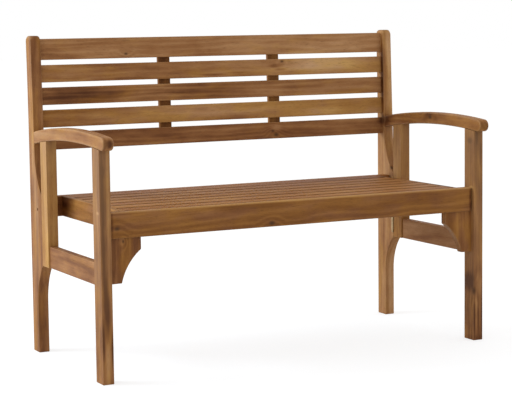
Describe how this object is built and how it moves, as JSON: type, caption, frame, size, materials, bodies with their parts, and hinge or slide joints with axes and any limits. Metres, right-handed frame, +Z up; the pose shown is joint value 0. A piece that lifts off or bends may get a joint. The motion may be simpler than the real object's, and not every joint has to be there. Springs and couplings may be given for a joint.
{
  "type": "folding garden bench",
  "caption": "Slatted wooden garden bench with arched armrests; its seat lifts on pivot pins against the reclined back to fold.",
  "frame": {"origin": "on the ground under the middle of the bench's box", "axes": "+X to the right along the bench as seen from the front, +Y from the front to the back, +Z up"},
  "size_m": [1.19, 0.5667, 0.9],
  "materials": {
    "acacia": "oiled satin",
    "hinge_steel": "zinc plated",
    "pin_steel": "plain",
    "screw_steel": "zinc plated"
  },
  "bodies": {
    "frame": {"left_back_post": "acacia", "right_back_post": "acacia", "back_slat_1": "acacia", "back_slat_2": "acacia", "back_slat_3": "acacia", "back_slat_4": "acacia", "back_slat_5": "acacia", "left_back_batten": "acacia", "right_back_batten": "acacia", "batten_screws": "screw_steel", "left_front_leg": "acacia", "left_rear_upright": "acacia", "left_lower_rail": "acacia", "left_armrest": "acacia", "left_seat_bracket": "acacia", "right_front_leg": "acacia", "right_rear_upright": "acacia", "right_lower_rail": "acacia", "right_armrest": "acacia", "right_seat_bracket": "acacia", "left_lower_hinge_post_leaf": "hinge_steel", "left_lower_hinge_arm_leaf": "hinge_steel", "left_lower_hinge_pin": "hinge_steel", "left_upper_hinge_post_leaf": "hinge_steel", "left_upper_hinge_arm_leaf": "hinge_steel", "left_upper_hinge_pin": "hinge_steel", "right_lower_hinge_post_leaf": "hinge_steel", "right_lower_hinge_arm_leaf": "hinge_steel", "right_lower_hinge_pin": "hinge_steel", "right_upper_hinge_post_leaf": "hinge_steel", "right_upper_hinge_arm_leaf": "hinge_steel", "right_upper_hinge_pin": "hinge_steel", "hinge_screws": "screw_steel"},
    "seat": {"seat_front_rail": "acacia", "seat_rear_rail": "acacia", "left_seat_rail": "acacia", "middle_seat_rail": "acacia", "right_seat_rail": "acacia", "seat_slat_1": "acacia", "seat_slat_2": "acacia", "seat_slat_3": "acacia", "seat_slat_4": "acacia", "seat_slat_5": "acacia", "seat_slat_6": "acacia", "seat_slat_7": "acacia", "seat_screws": "screw_steel", "left_pivot_pin": "pin_steel", "right_pivot_pin": "pin_steel"}
  },
  "joints": [
    {"name": "seat_fold", "type": "hinge", "parent": "frame", "child": "seat", "pos_m": [0, 0.2175, 0.413], "axis": [-1, 0, 0], "range_deg": [0, 87]}
  ]
}
